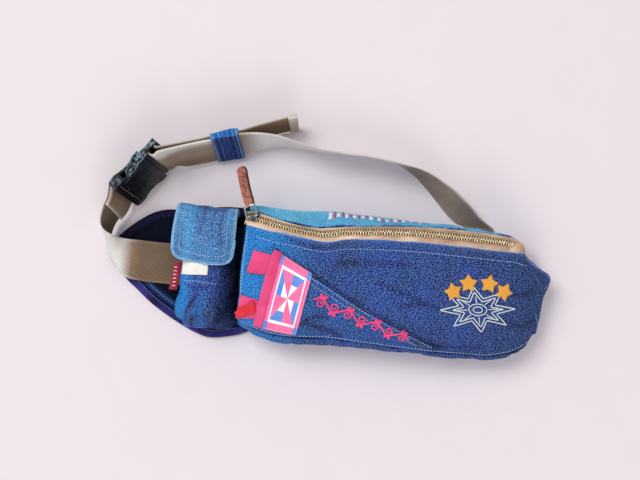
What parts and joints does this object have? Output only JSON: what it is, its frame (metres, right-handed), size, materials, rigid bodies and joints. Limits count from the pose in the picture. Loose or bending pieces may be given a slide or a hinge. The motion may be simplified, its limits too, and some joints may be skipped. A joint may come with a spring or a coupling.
{
  "type": "waist pack",
  "caption": "Denim waist pack with a zipped main compartment, a flapped side pocket on a padded wing, and a webbing belt with a side-release buckle and a keeper loop.",
  "frame": {"origin": "on the flat back face of the pack, under the middle of the main compartment", "axes": "+X along the pack towards its right end, +Y towards its zipped top edge, +Z out of the back face, towards the pack's front"},
  "size_m": [0.4365, 0.2262, 0.0732],
  "materials": {
    "denim": "washed blue denim twill",
    "denim_light": "light washed denim twill",
    "denim_dark": "dark indigo denim",
    "lining": "plain woven lining",
    "padding": "foam faced with mesh",
    "binding": "ribbed binding tape",
    "webbing": "beige herringbone cotton webbing",
    "zip_tape": "tan woven zip tape",
    "zip_brass": "antique brass",
    "antique_metal": "antique plated metal",
    "leather": "reddish brown leather with burnished edges",
    "buckle_plastic": "moulded acetal, satin",
    "ribbon": "grosgrain ribbon",
    "cream_strip": "cream hook-and-loop tape",
    "printed_patch": "printed cotton patch",
    "red_tab": "woven label tape"
  },
  "bodies": {
    "pack": {"back_panel": "denim_dark", "back_padding": "padding", "bottom_gusset": "denim", "front_panel": "denim", "front_lining": "lining", "top_gusset": "denim_light", "right_shoulder": "denim", "left_gusset": "denim_dark", "right_gusset": "denim", "slant_pocket": "denim", "quilt_patch": "printed_patch", "patch_band": "ribbon", "ribbon_upper": "ribbon", "ribbon_lower": "ribbon", "tape_lower": "zip_tape", "teeth_lower": "zip_brass", "zip_stop": "zip_brass", "left_wing": "denim_dark", "wing_binding": "binding", "side_pocket": "denim", "pocket_loop_strip": "cream_strip", "side_tab": "red_tab", "strap_sewn_left": "webbing", "strap_anchor": "denim_dark"},
    "lid": {"top_panel": "denim_light", "tape_upper": "zip_tape", "teeth_upper": "zip_brass"},
    "slider": {"slider_body": "antique_metal", "slider_base": "antique_metal"},
    "puller": {"puller_bail": "antique_metal", "leather_puller": "leather"},
    "flap": {"pocket_flap": "denim_light", "flap_hook_strip": "cream_strip"},
    "belt": {"strap_left": "webbing", "strap_fold": "webbing", "strap_right": "webbing", "strap_tail": "webbing", "buckle_female": "buckle_plastic"},
    "male_half": {"buckle_male": "buckle_plastic"},
    "upper_prong": {"prong_upper": "buckle_plastic"},
    "lower_prong": {"prong_lower": "buckle_plastic"},
    "keeper": {"keeper_loop": "denim"}
  },
  "joints": [
    {"name": "lid_fold", "type": "hinge", "parent": "pack", "child": "lid", "pos_m": [-0.0225, 0.07, 0.032], "axis": [-1, 0, 0], "range_deg": [0, 50]},
    {"name": "zip_travel", "type": "slide", "parent": "pack", "child": "slider", "axis": [1, 0, 0], "range_m": [0, 0.24]},
    {"name": "puller_swing", "type": "hinge", "parent": "slider", "child": "puller", "pos_m": [-0.1455, 0.05725, 0.0633], "axis": [0.9435, 0.3312, 0], "range_deg": [0, 140]},
    {"name": "flap_lift", "type": "hinge", "parent": "pack", "child": "flap", "pos_m": [-0.191, 0.0575, 0.008], "axis": [-1, 0, 0], "range_deg": [0, 105]},
    {"name": "belt_lift", "type": "hinge", "parent": "pack", "child": "belt", "pos_m": [-0.225, -0.0185, 0.008], "axis": [0.9664, 0.256, -0.0212], "range_deg": [0, 25]},
    {"name": "buckle_release", "type": "slide", "parent": "belt", "child": "male_half", "axis": [0.6, 0.8, 0], "range_m": [0, 0.028]},
    {"name": "upper_prong_flex", "type": "hinge", "parent": "male_half", "child": "upper_prong", "pos_m": [-0.25571, 0.10321, 0.03938], "axis": [0.719, -0.5393, 0.4384], "range_deg": [0, 8], "stiffness_Nm_per_rad": 0.3},
    {"name": "lower_prong_flex", "type": "hinge", "parent": "male_half", "child": "lower_prong", "pos_m": [-0.24449, 0.09479, 0.01062], "axis": [0.719, -0.5393, 0.4384], "range_deg": [-8, 0], "stiffness_Nm_per_rad": 0.3},
    {"name": "keeper_slide", "type": "slide", "parent": "belt", "child": "keeper", "axis": [0.9538, 0.3005, 0], "range_m": [-0.02, 0]}
  ],
  "couplings": [
    {"joint": "lower_prong_flex", "follows": "upper_prong_flex", "ratio": -1}
  ]
}
